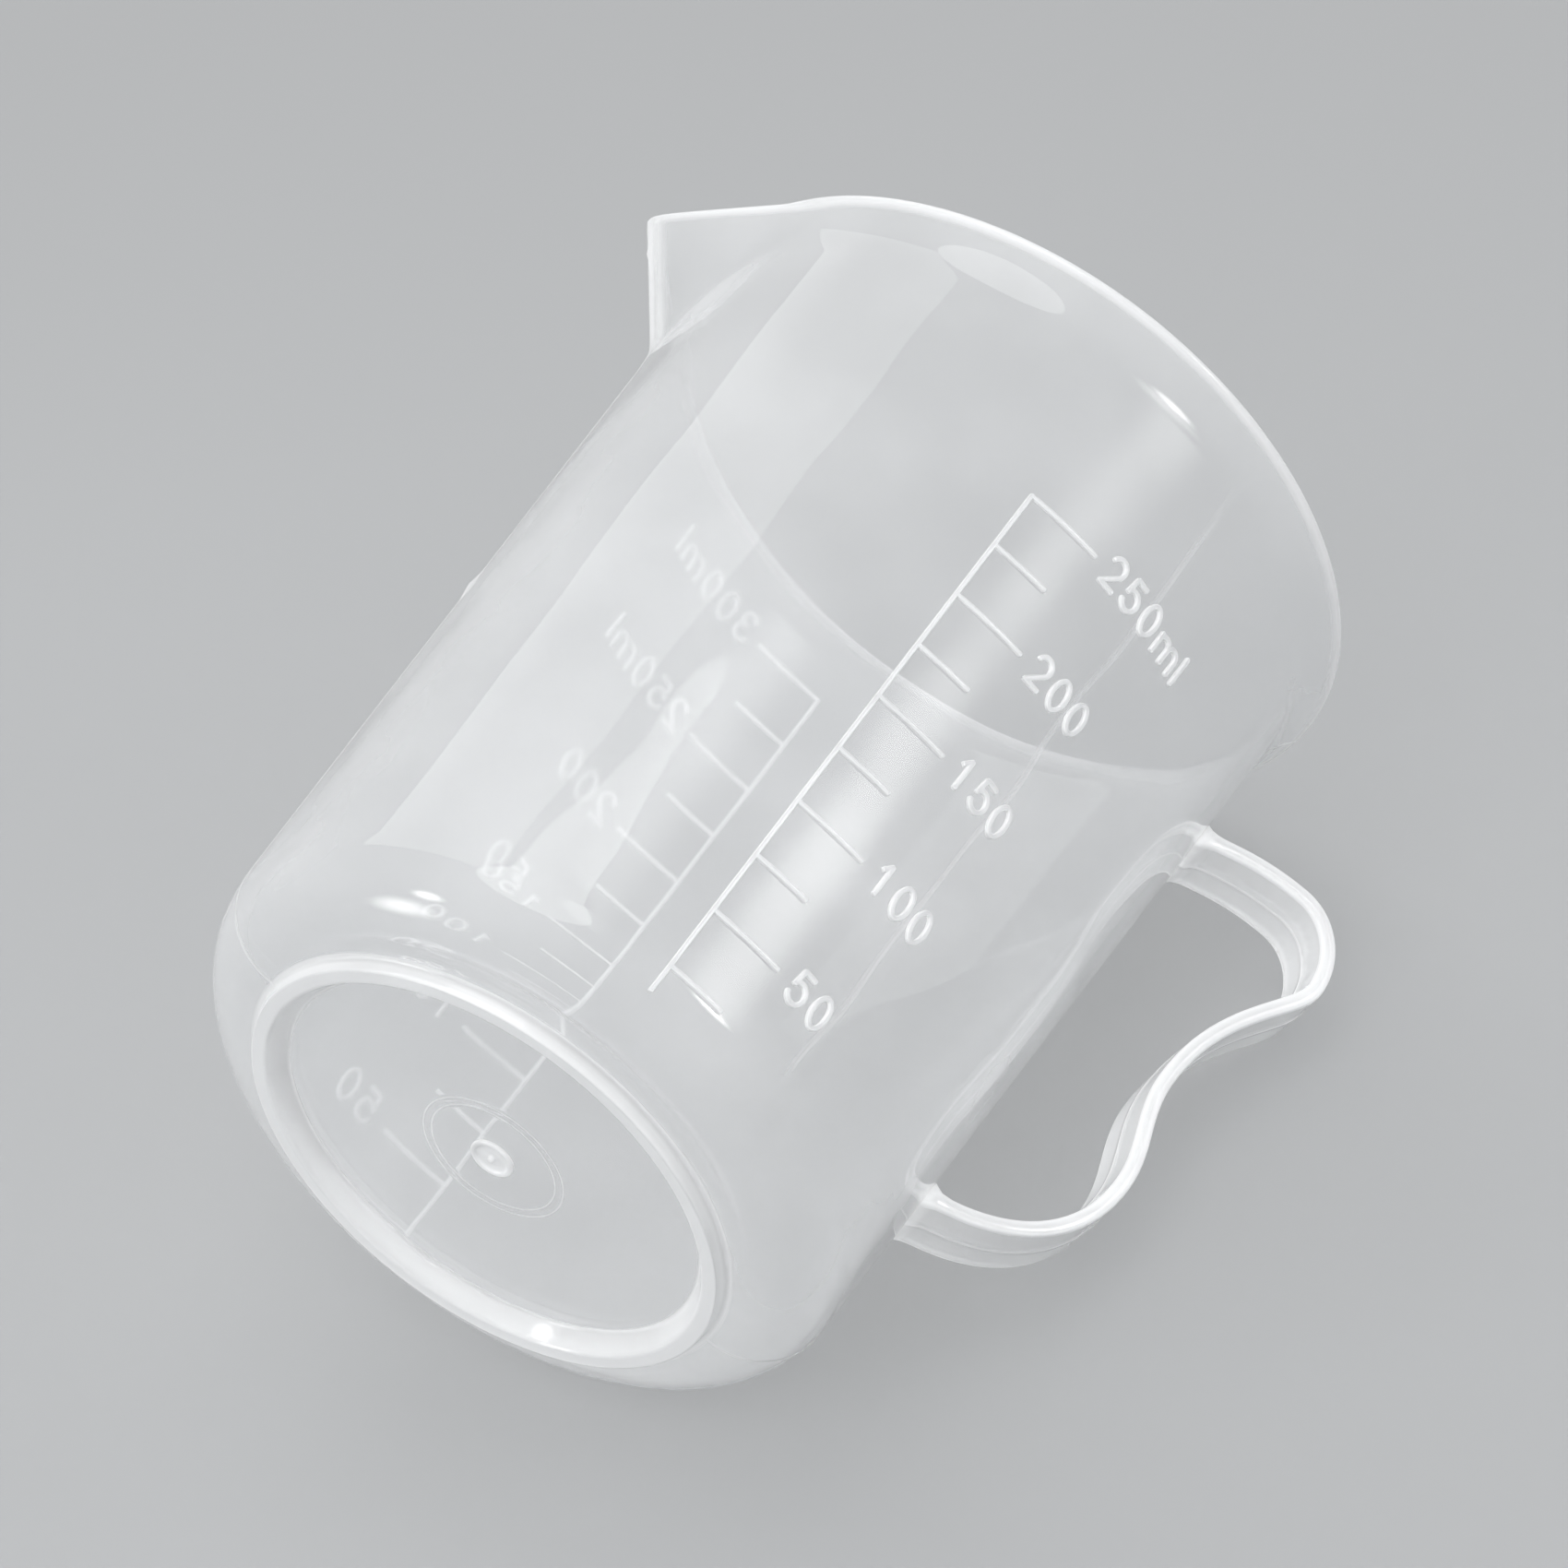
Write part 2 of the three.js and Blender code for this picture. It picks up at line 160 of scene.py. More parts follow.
CAP_R = WALL / 2
CAP_TILT = 40.8
CAP_CENTRE = (RIM_R - CAP_R, RIM_Z - CAP_R)
FLARE_END_R = CAP_CENTRE[0] + CAP_R * math.cos(math.radians(CAP_TILT))
FLARE_END_Z = CAP_CENTRE[1] - CAP_R * math.sin(math.radians(CAP_TILT))
FLARE_W = FLARE_END_R - NECK_R
FLARE_H = FLARE_END_Z - NECK_Z
FLARE_R = (FLARE_H ** 2 + FLARE_W ** 2) / (2 * FLARE_W)


def wall_radius(z):
    return HEEL_TOP_R + (NECK_R - HEEL_TOP_R) * (z - HEEL_TOP_Z) / (NECK_Z - HEEL_TOP_Z)


def outer_radius(z):
    if z > NECK_Z:
        rise = min(z - NECK_Z, FLARE_R)
        return NECK_R + FLARE_R - math.sqrt(FLARE_R ** 2 - rise ** 2)
    if z < HEEL_TOP_Z:
        drop = min(HEEL_TOP_Z - z, HEEL_R)
        return HEEL_TOP_R - HEEL_R + math.sqrt(HEEL_R ** 2 - drop ** 2)
    return wall_radius(z)


def inner_radius(z):
    if z > NECK_Z:
        radius = FLARE_R + WALL
        rise = min(z - NECK_Z, radius)
        return NECK_R + FLARE_R - math.sqrt(radius ** 2 - rise ** 2)
    return wall_radius(z) - WALL


# Spout: two flat faces that meet in a rounded ridge and touch the rim circle
RIDGE_ROOT_R = outer_radius(SPOUT_ROOT_Z)
TIP_Z = RIM_Z - SPOUT_DROOP


def spout_numbers(tip):
    slope = (tip - RIDGE_ROOT_R) / (TIP_Z - SPOUT_ROOT_Z)
    at_rim = RIDGE_ROOT_R + slope * (RIM_Z - SPOUT_ROOT_Z)
    return slope, math.acos(RIM_R / at_rim)


FACE = spout_numbers(SPOUT_TIP_R)[1]
TIP_SHARP = (SPOUT_TIP_R + TIP_LOSS) * math.cos(FACE - RIDGE_ROUND) / math.cos(FACE)
SLOPE, FACE = spout_numbers(TIP_SHARP)
TILT = math.hypot(1, SLOPE * math.cos(FACE))


def drooped(z, turn):
    """Height of a point lowered towards the spout's ridge."""
    if z <= SPOUT_ROOT_Z or turn >= FACE + 2 * SPOUT_BLEND:
        return z
    share = math.tan(FACE - turn) / math.tan(FACE)
    share = smooth_max(share, 0.0, DROOP_SOFT) - DROOP_SOFT ** 2 / (4 * math.hypot(share, DROOP_SOFT))
    return SPOUT_ROOT_Z + (z - SPOUT_ROOT_Z) * (1 - SPOUT_DROOP * share / (RIM_Z - SPOUT_ROOT_Z))


def spouted(base, z, turn, inset):
    """Radius of a surface pushed out to the spout's face."""
    if z <= SPOUT_ROOT_Z - SPOUT_LEAD_IN:
        return base
    soft = math.hypot(turn, RIDGE_ROUND)
    ridge = RIDGE_ROOT_R + SLOPE * (z - SPOUT_ROOT_Z)
    face = (ridge * math.cos(FACE) - inset * TILT) / math.cos(max(FACE - soft, 0.0))
    up = (z - SPOUT_ROOT_Z) / (RIM_Z - SPOUT_ROOT_Z)
    width = FOLD_EXTRA * (1 - up) + FOLD_RIM
    fade = 1 - smoothstep(FACE, FACE + SPOUT_BLEND, turn)
    start = smoothstep(SPOUT_ROOT_Z - SPOUT_LEAD_IN, SPOUT_ROOT_Z - 0.5, z)
    return base + (smooth_max(base, face, width) - base) * fade * start


# Rows of the cup: (radius, height, depth into the wall from 0 outside to 1 inside, haze)
def cup_rows():
    rows = []

    def add(points, depth, haze_and_painted_light):
        rows.extend((r, z, depth, haze_and_painted_light) for r, z in points)

    def flare_haze(z):
        return CLEAR_HAZE + (FLARE_HAZE - CLEAR_HAZE) * smoothstep(NECK_Z, FLARE_END_Z, z)

    # underside, with two faint raised circles left by the mould
    add([(0.0, RECESS_Z), (3.0, RECESS_Z)], 0, CLEAR_HAZE)
    for ring in CIRCLES:
        add([(ring - 0.4, RECESS_Z), (ring - 0.17, RECESS_Z)], 0, CLEAR_HAZE)
        crest = RECESS_Z - CIRCLE_RISE
        add([(ring - 0.06, crest), (ring + 0.06, crest)], 0, CIRCLE_HAZE)
        add([(ring + 0.17, RECESS_Z), (ring + 0.4, RECESS_Z)], 0, CLEAR_HAZE)
    add([(12.0, RECESS_Z), (18.0, RECESS_Z), (21.5, RECESS_Z)], 0, CLEAR_HAZE)
    # foot ring with rounded edges
    add([(RECESS_R - 0.25, RECESS_Z)], 0, 0.1)
    add([(RECESS_R, RECESS_Z - 0.07), (RECESS_R + 0.22, RECESS_Z - 0.3)], 0, FOOT_ROOT_HAZE)
    add([(FOOT_IN - 0.3, 0.42), (FOOT_IN - 0.08, 0.1), (FOOT_IN + 0.08, 0.0)], 0, FOOT_HAZE)
    add([(24.0, 0.0), (24.5, 0.0), (25.0, 0.0), (FOOT_OUT - 0.06, 0.0)], 0, FOOT_HAZE)
    add([(FOOT_OUT + 0.01, 0.05), (FOOT_OUT + 0.05, 0.2), (FOOT_ROOT - 0.12, 0.9)], 0, FOOT_HAZE)
    add([(FOOT_ROOT - 0.03, 1.25), (FOOT_ROOT + 0.12, 1.44)], 0, FOOT_ROOT_HAZE)
    add([(FOOT_ROOT + 0.4, FOOT_Z)], 0, FOOT_ROOT_HAZE)
    # heel and wall, the rows closer together at the spout's height
    for k, (r, z) in enumerate(arc(HEEL_TOP_R - HEEL_R, HEEL_TOP_Z, HEEL_R, -90, 0, HEEL_STEPS)):
        add([(r, z)], 0, HEEL_HAZE - (HEEL_HAZE - HEEL_TOP_HAZE) * k / HEEL_STEPS)
    z = HEEL_TOP_Z + 1.5
    while z < SPOUT_ROOT_Z - 3:
        add([(wall_radius(z), z)], 0, CLEAR_HAZE)
        z += 2.0
    top_foot = SPOUT_ROOT_Z - 2.5
    for k in range(TOP_STEPS):
        z = top_foot + (FLARE_END_Z - top_foot) * k / TOP_STEPS
        add([(outer_radius(z), z)], 0, flare_haze(z))
    # rounded rim, whiter than the wall: partly its longer path through the plastic, partly a painted
    # bright line along the rim
    for k, (r, z) in enumerate(arc(*CAP_CENTRE, CAP_R, -CAP_TILT, 180 - CAP_TILT, RIM_STEPS)):
        add([(r, z)], (1 - math.cos(math.pi * k / RIM_STEPS)) / 2, RIM_PAINTED_LINE_HAZE)
    # inside
    in_top = CAP_CENTRE[1] + CAP_R * math.sin(math.radians(CAP_TILT))
    for k in range(1, TOP_STEPS + 1):
        z = in_top - (in_top - top_foot) * k / TOP_STEPS
        add([(inner_radius(z), z)], 1, flare_haze(z))
    z = SPOUT_ROOT_Z - 4.5
    while z > HEEL_TOP_Z + 1:
        add([(inner_radius(z), z)], 1, CLEAR_HAZE)
        z -= 4.0
    radius = HEEL_TOP_Z - FLOOR_Z
    heel = arc(HEEL_TOP_R - WALL - radius, HEEL_TOP_Z, radius, 0, -90, INNER_HEEL_STEPS)
    add(heel, 1, INNER_HEEL_HAZE)
    add([(20.0, FLOOR_Z), (10.0, FLOOR_Z), (0.0, FLOOR_Z)], 1, CLEAR_HAZE)
    return rows


def seam_rise(height, turn, seam):
    """Height of the parting line on the wall, with a few specks of flash on the spout's side."""
    line = max(1 - (seam / SEAM_HALF) ** 2, 0.0)
    rise = SEAM_RISE * line * line
    if turn < FLASH_REACH and rise > SEAM_RISE / 2:
        for spot, tall in FLASH:
            rise += tall * math.exp(-((height - spot) / FLASH_LENGTH) ** 2)
    return rise


def ridge_haze(height, turn):
    """Whiter along the spout's ridge, fading out at its root."""
    across = smoothstep(math.radians(2.0), math.radians(0.6), turn)
    return RIDGE_HAZE * across * smoothstep(SPOUT_ROOT_Z - 1.5, SPOUT_ROOT_Z + 3.0, height)


def cup_angles():
    """Even steps round the cup in degrees, with closer ones at the two parting lines."""
    angles = [1.25 * k for k in range(288)]
    for middle in (0.0, 180.0):
        for step in (0.16, 0.34, 0.52, 0.9):
            angles += [(middle + step) % 360, (middle - step) % 360]
    return sorted(set(round(a, 4) for a in angles))


def turned_faces(rows, turns):
    """Faces of a closed turned surface: rings of rows, pinched where a row's radius is zero."""
    faces = []
    n = len(rows)
    for i in range(turns):
        j = (i + 1) % turns
        for k in range(n - 1):
            quad = [i * n + k, j * n + k, j * n + k + 1, i * n + k + 1]
            if rows[k][0] == 0.0:
                quad = [quad[0], quad[2], quad[3]]
            elif rows[k + 1][0] == 0.0:
                quad = quad[:3]
            faces.append(quad)
    return faces


def cup_mesh():
    rows = cup_rows()
    angles = cup_angles()
    points, haze_and_painted_light = [], []
    for degrees in angles:
        theta = math.radians(degrees)
        turn = abs(math.pi - theta)
        seam = min(turn, theta, 2 * math.pi - theta)
        for r, z, depth, white in rows:
            height = drooped(z, turn)
            base = r
            if height != z and depth in (0, 1):
                base = inner_radius(height) if depth else outer_radius(height)
            radius = spouted(base, height, turn, depth * WALL) if z > HEEL_TOP_Z else base
            outside = depth == 0 and r > FOOT_ROOT
            if outside and z < RIM_Z - 0.6:
                radius += seam_rise(height, turn, seam)
            edge = ridge_haze(height, turn)
            if outside and seam < math.radians(0.4):
                edge = max(edge, SEAM_HAZE)
            points.append((radius * math.cos(theta), radius * math.sin(theta), height))
            haze_and_painted_light.append(max(white, edge))
    return make_mesh("beaker_cup", points, turned_faces(rows, len(angles)), haze_and_painted_light)


# Handle

# Bends of the middle line, as offsets from the neck's radius and from a root's height
ROOT_TOP_Z = RIM_Z - 19.7
ROOT_LOW_Z = RIM_Z - 70.7
ROOT_SINK = 1.0
CROWN = (NECK_R + 10.9, ROOT_TOP_Z + 2.4)
EAR = (NECK_R + 17.2, ROOT_TOP_Z - 5.0)
WAIST = (NECK_R + 10.5, ROOT_TOP_Z - 24.0)
LOBE = (NECK_R + 12.9, ROOT_LOW_Z + 14.9)
LINE_CLEAR = 0.25

# Section of the strap, its haze and the fillets at its roots
STRAP_W = 9.0
STRAP_T = 1.6
STRAP_CORNER = 0.35
STRAP_LINE_RISE = 0.09
STRAP_LINE_HALF = 0.2
STRAP_FACE_STEPS = (3.9, 2.2, 1.1, 0.28, 0.1)
# whiter corners and sides: partly the longer path through the plastic edge-on, partly painted bright
# lines along the strap's edges
STRAP_EDGE_LINE_AND_ROOT_HAZE = 0.8
STRAP_SIDE_PAINTED_EDGE_HAZE = 0.4
STRAP_LINE_HAZE = 0.7
STRAP_FACE_HAZE = 0.35
BEND_STEPS = 22
EDGE_STEPS = 8
ROOT_SWELL = 0.9
ROOT_SPREAD = 0.05
ROOT_LENGTH = 0.8
HUG_LENGTH = 2.5
HUG_LIFT = 0.02


def bezier(p0, p1, p2, p3, steps):
    out = []
    for k in range(steps + 1):
        t = k / steps
        u = 1 - t
        out.append(tuple(
            u ** 3 * a + 3 * u * u * t * b + 3 * u * t * t * c + t ** 3 * d
            for a, b, c, d in zip(p0, p1, p2, p3)
        ))
    return out


def handle_line():
    """Middle line of the strap in the X-Z plane, from the top root to the low root."""
    top = (wall_radius(ROOT_TOP_Z) - ROOT_SINK, ROOT_TOP_Z)
    crown, ear, waist, lobe = CROWN, EAR, WAIST, LOBE
    low = (wall_radius(ROOT_LOW_Z) - ROOT_SINK, ROOT_LOW_Z)
    run = (crown[0] - top[0]) * 0.4
    low_run = (lobe[0] - low[0]) * 0.53
    parts = (
        (top, (top[0] + run, top[1] + 0.3 * run), (crown[0] - run, crown[1]), crown),
        (crown, (crown[0] + 0.56 * (ear[0] - crown[0]), crown[1]),
         (ear[0], ear[1] + 0.56 * (crown[1] - ear[1])), ear),
        (ear, (ear[0], ear[1] + 0.18 * (waist[1] - ear[1])),
         (waist[0], waist[1] + 0.56 * (ear[1] - waist[1])), waist),
        (waist, (waist[0], waist[1] + 0.4 * (lobe[1] - waist[1])),
         (lobe[0], lobe[1] + 0.4 * (waist[1] - lobe[1])), lobe),
        (lobe, (lobe[0], lobe[1] + 0.6 * (low[1] - lobe[1])),
         (low[0] + low_run, low[1] + 0.13 * low_run), low),
    )
    line = []
    for part in parts:
        line += bezier(*part, BEND_STEPS)[(1 if line else 0):]
    # keep what is outside the wall, starting and ending right at it
    clear = [p for p in line if p[0] > wall_radius(p[1]) + LINE_CLEAR]
    first = line[line.index(clear[0]) - 1]
    last = line[line.index(clear[-1]) + 1]

    def at_wall(inside, outside):
        a = inside[0] - wall_radius(inside[1])
        b = outside[0] - wall_radius(outside[1])
        t = -a / (b - a)
        return tuple(p + (q - p) * t for p, q in zip(inside, outside))

    return [at_wall(first, clear[0])] + clear + [at_wall(last, clear[-1])]


def strap_section():
    """Outline of the strap: round edges and a thin moulding line along the middle of each face."""
    half_t = STRAP_T / 2
    inner = STRAP_W / 2 - STRAP_CORNER
    side = [(inner, half_t)]
    for k in range(1, EDGE_STEPS):
        a = math.radians(90 - 180 * k / EDGE_STEPS)
        middle = (half_t - STRAP_CORNER) * ((a > 0) - (a < 0))
        side.append((inner + STRAP_CORNER * math.cos(a), middle + STRAP_CORNER * math.sin(a)))
    side.append((inner, -half_t))
    face = [(y, half_t + (STRAP_LINE_RISE if y < STRAP_LINE_HALF else 0.0)) for y in STRAP_FACE_STEPS]
    half = side + [(y, -t) for y, t in face] + [(-y, -t) for y, t in reversed(face)]
    return half + [(-y, -t) for y, t in side] + [(-y, t) for y, t in face] + face[::-1]


def strap_haze(y, t):
    """Whiter along the four corners and the moulding line than on the faces; the whiter corners and
    sides are partly the longer path through the strap's edge, partly painted bright edge lines.
    """
    if abs(y) > STRAP_W / 2 - 0.5:
        return STRAP_EDGE_LINE_AND_ROOT_HAZE if abs(t) > 0.3 else STRAP_SIDE_PAINTED_EDGE_HAZE
    return STRAP_LINE_HAZE if abs(y) < STRAP_LINE_HALF else STRAP_FACE_HAZE


def handle_mesh():
    """The strap along its line, swelling at both roots and hugging the round wall there."""
    line = handle_line()
    length = [0.0]
    for a, b in zip(line, line[1:]):
        length.append(length[-1] + math.dist(a, b))
    section = strap_section()
    points, haze_and_painted_light = [], []
    for i, (x, z) in enumerate(line):
        before, after = line[max(i - 1, 0)], line[min(i + 1, len(line) - 1)]
        along = Vector((after[0] - before[0], after[1] - before[1])).normalized()
        normal = Vector((-along.y, along.x))
        away = min(length[i], length[-1] - length[i])
        swell = 1 + ROOT_SWELL * math.exp(-(away / ROOT_LENGTH) ** 1.5)
        hug = 1 - smoothstep(0.0, HUG_LENGTH, away)
        for y, t in section:
            px, pz = x + normal.x * t * swell, z + normal.y * t * swell
            py = y * (1 + ROOT_SPREAD * (swell - 1))
            flush = math.sqrt((wall_radius(pz) + SEAT) ** 2 - py * py)
            if away == 0.0:
                px = flush
            else:
                px = max(px - hug * (wall_radius(pz) - flush + SEAT), flush + HUG_LIFT)
            points.append((px, py, pz))
            haze_and_painted_light.append(max(strap_haze(y, t), STRAP_EDGE_LINE_AND_ROOT_HAZE * smoothstep(2.2, 0.2, away)))
    n = len(section)
    faces = []
    for i in range(len(line) - 1):
        for k in range(n):
            j = (k + 1) % n
            faces.append([i * n + k, i * n + j, (i + 1) * n + j, (i + 1) * n + k])
    faces.append(list(range(n)))
    faces.append([(len(line) - 1) * n + k for k in range(n)])
    return make_mesh("beaker_handle", points, faces, haze_and_painted_light)


# Raised marks and numerals, made flat and then bent round the wall

RELIEF = 0.4
STROKE = 0.45
GLYPH_STROKE = 0.53
MARK_LONG = 8.2
MARK_SHORT = 6.3
DIGIT_H = 4.0
DIGIT_W = 2.3
M_W = 3.6
M_H = 2.9
GLYPH_GAP = 0.65
LABEL_GAP = 1.5
BASELINE = 1.65
SPINE = 0.5
SPINE_LOW_Z = 6.3
SCALE_R = NECK_R - 0.8
SCALE_LOW_Z = 1.8
SCALE_TOP_Z = NECK_Z - 3.7
SCALE_STEPS = 12
VOLUME_STEP = 25
UNIT_FROM = 250
FRONT_MARKS = 10
FRONT_HAZE = 0.5
# the back scale and labels are painted whiter than the front ones, painted brightness so that they
# read as lit through both walls
BACK_PAINTED_BRIGHT_HAZE = 1.0
# clearer flat tops leave the marks' sides whiter: painted highlights along their edges
CLEAR_TOP_PAINTED_EDGES = 0.45
END_REACH = 0.12
END_WIDTH = 0.75
END_HEIGHT = 0.8


def bead_section(width):
    """Outline of a raised bead with softened upper corners, as (side, height) points."""
    half = width / 2
    left = [(-half, 0), (-half, 0.6 * RELIEF), (-0.85 * half, 0.9 * RELIEF), (-0.55 * half, RELIEF)]
    return left + [(-u, h) for u, h in reversed(left)]


def bead(points, width):
    """A closed raised bead along a line of (run, height) points."""
    shape = bead_section(width)
    soft = [(u * END_WIDTH, h * END_HEIGHT) for u, h in shape]
    last = len(points) - 1
    rings = []

    def ring(s, z, side, outline):
        rings.append([(s + side.x * u, z + side.y * u, h) for u, h in outline])

    for i, (s, z) in enumerate(points):
        a, b = points[max(i - 1, 0)], points[min(i + 1, last)]
        d = Vector((b[0] - a[0], b[1] - a[1])).normalized()
        side = Vector((d.y, -d.x))
        if i == 0:
            ring(s - d.x * END_REACH, z - d.y * END_REACH, side, soft)
        ring(s, z, side, shape)
        if i == last:
            ring(s + d.x * END_REACH, z + d.y * END_REACH, side, soft)
    n = len(shape)
    verts = [v for ring in rings for v in ring]
    faces = []
    for i in range(len(rings) - 1):
        for k in range(n):
            j = (k + 1) % n
            faces.append([i * n + k, i * n + j, (i + 1) * n + j, (i + 1) * n + k])
    faces.append(list(range(n))[::-1])
    faces.append([(len(rings) - 1) * n + k for k in range(n)])
    return verts, faces


def loop_bead(points, width):
    """A bead that closes on itself."""
    shape = bead_section(width)
    count, n = len(points), len(shape)
    verts, faces = [], []
    for i, (s, z) in enumerate(points):
        a, b = points[i - 1], points[(i + 1) % count]
        d = Vector((b[0] - a[0], b[1] - a[1])).normalized()
        verts += [(s + d.y * u, z - d.x * u, h) for u, h in shape]
    for i in range(count):
        for k in range(n):
            j = (k + 1) % n
            q = (i + 1) % count
            faces.append([i * n + k, i * n + j, q * n + j, q * n + k])
    return verts, faces


def flat_mesh(shape):
    mesh = bpy.data.meshes.new("flat")
    mesh.from_pydata(shape[0], [], shape[1])
    tidy = bmesh.new()
    tidy.from_mesh(mesh)
    bmesh.ops.recalc_face_normals(tidy, faces=tidy.faces)
    tidy.to_mesh(mesh)
    tidy.free()
    return mesh


def joined(shapes):
    """One closed mesh from overlapping beads, as (points, faces)."""
    objs = [new_object("flat", flat_mesh(s)) for s in shapes]
    whole = objs[0]
    for other in objs[1:]:
        mod = whole.modifiers.new("join", "BOOLEAN")
        mod.operation = "UNION"
        mod.solver = "MANIFOLD"
        mod.object = other
    bpy.context.view_layer.update()
    done = whole.evaluated_get(bpy.context.evaluated_depsgraph_get())
    mesh = done.to_mesh()
    result = [tuple(v.co) for v in mesh.vertices], [list(p.vertices) for p in mesh.polygons]
    done.to_mesh_clear()
    for obj in objs:
        data = obj.data
        bpy.data.objects.remove(obj)
        bpy.data.meshes.remove(data)
    return result


def straight(a, b, steps):
    return [tuple(p + (q - p) * k / steps for p, q in zip(a, b)) for k in range(steps + 1)]


def bow(cx, cy, rx, ry, start, end, steps):
    out = []
    for k in range(steps + 1):
        a = math.radians(start + (end - start) * k / steps)
        out.append((cx + rx * math.cos(a), cy + ry * math.sin(a)))
    return out


def glyph_width(glyph):
    return {"m": M_W, "l": GLYPH_STROKE}.get(glyph, DIGIT_W)


def glyph_shape(glyph):
    """A numeral or letter, flat, with its lower left corner at the origin."""
    height = M_H if glyph == "m" else DIGIT_H
    w, h, e = glyph_width(glyph) - GLYPH_STROKE, height - GLYPH_STROKE, GLYPH_STROKE / 2

    def at(x, y):
        return (e + x * w, e + y * h)

    def curve(x, y, rx, ry, start, end, steps=22):
        return bow(e + x * w, e + y * h, rx * w, ry * h, start, end, steps)

    if glyph == "0":
        return loop_bead(curve(0.5, 0.5, 0.5, 0.5, 0, 360, 48)[:-1], GLYPH_STROKE)
    strokes = {
        "1": [straight(at(0.18, 0.74), at(0.55, 1), 3), straight(at(0.55, 1), at(0.55, 0), 4)],
        "2": [curve(0.5, 0.7, 0.5, 0.3, 160, -38) + [at(0, 0)], straight(at(-0.02, 0), at(1, 0), 4)],
        "3": [curve(0.47, 0.76, 0.46, 0.24, 160, -90), curve(0.47, 0.27, 0.53, 0.27, 90, -160)],
        "5": [straight(at(0.95, 1), at(0.16, 1), 4), straight(at(0.16, 1), at(0.06, 0.5), 4),
              curve(0.47, 0.33, 0.53, 0.33, 140, -160)],
        "m": [straight(at(0, 0), at(0, 1), 4),
              curve(0.25, 0.68, 0.25, 0.32, 180, 0, 12) + [at(0.5, 0)],
              curve(0.75, 0.68, 0.25, 0.32, 180, 0, 12) + [at(1, 0)]],
        "l": [straight(at(0, 0), at(0, 1), 4)],
    }[glyph]
    return joined([bead(points, GLYPH_STROKE) for points in strokes])


def mark_heights():
    """Equal steps of volume inside the tapered wall."""
    low = wall_radius(SCALE_LOW_Z) - WALL
    top = wall_radius(SCALE_TOP_Z) - WALL
    heights = []
    for k in range(1, SCALE_STEPS + 1):
        r = (low ** 3 + (top ** 3 - low ** 3) * k / SCALE_STEPS) ** (1 / 3)
        heights.append(SCALE_LOW_Z + (SCALE_TOP_Z - SCALE_LOW_Z) * (r - low) / (top - low))
    return heights


def bent(name, shape, middle, run, foot, radius, haze_and_painted_light):
    """A flat shape wrapped on the wall, to the right of a middle angle; clearer on its flat top, so
    that its whiter sides are painted highlights along its edges.
    """
    points, white = [], []
    for s, z, h in shape[0]:
        height = z + foot
        r = outer_radius(height) + SEAT + h
        theta = middle + (s + run) / radius
        points.append((r * math.cos(theta), r * math.sin(theta), height))
        # whiter sides than top: painted highlights along the mark's edges
        white.append(haze_and_painted_light * (1 - CLEAR_TOP_PAINTED_EDGES * smoothstep(0.85, 1.0, h / RELIEF)))
    return make_mesh(name, points, shape[1], white)


def scale_shape(heights):
    """The flat comb of a scale: the spine from the heel upwards, and a short or long mark per step."""
    spine = straight((0.0, SPINE_LOW_Z), (0.0, HEEL_TOP_Z), 3)[:-1]
    spine += straight((0.0, HEEL_TOP_Z), (0.0, heights[-1]), 30)
    shapes = [bead(spine, SPINE)]
    for k, z in enumerate(heights):
        reach = MARK_LONG if k % 2 else MARK_SHORT
        shapes.append(bead(straight((0.0, z), (reach, z), 14), STROKE))
    return joined(shapes)


# Materials: lengths in metres, noise scales per metre, the weld line's angles in radians

CLOUD_SCALE = 55
CLOUD_RANGE = (0.3, 0.7)
CLOUD_HAZE = 0.05
WAVE_SCALE = 42
PLASTIC_IOR = 1.49
SHADOW_TONE = (0.93, 0.93, 0.93, 1)
CLEAR_TONE = (0.945, 0.95, 0.955, 1)
WHITE_TONE = (0.965, 0.97, 0.975, 1)
LEAST_CLEAR = 0.1
SLANT_FROM = 0.4
SLANT_PAINTED_EDGE_HAZE = 0.45
WELD_HAZE = 0.2
WELD_RELIEF = 0.006
WELD_ANGLE = math.radians(-63.9)
WELD_WANDER = 0.035
WELD_WANDER_SCALE = 70
WELD_HALF = (0.003, 0.010)
WELD_LOW = (0.008, 0.012)
WELD_TOP = (0.082, 0.095)
WAVE_STRENGTH = 0.7
WAVE_DEPTH = 0.0006


def node(tree, kind, **settings):
    made = tree.nodes.new(kind)
    for key, value in settings.items():
        setattr(made, key, value)
    return made


def set_in(made, **values):
    for key, value in values.items():
        made.inputs[key.replace("_", " ")].default_value = value


def math_node(tree, operation, a, b=0.5):
    made = node(tree, "ShaderNodeMath", operation=operation)
    for socket, value in zip(made.inputs, (a, b)):
        if isinstance(value, (int, float)):
            socket.default_value = value
        else:
            tree.links.new(value, socket)
    return made.outputs[0]


def map_node(tree, value, low, high, to_low, to_high):
    made = node(tree, "ShaderNodeMapRange", clamp=True)
    tree.links.new(value, made.inputs["Value"])
    set_in(made, From_Min=low, From_Max=high, To_Min=to_low, To_Max=to_high)
    return made.outputs["Result"]


def noise_node(tree, coords, scale, detail, roughness=0.5):
    made = node(tree, "ShaderNodeTexNoise")
    tree.links.new(coords, made.inputs["Vector"])
    set_in(made, Scale=scale, Detail=detail, Roughness=roughness)
    return made.outputs["Fac"]


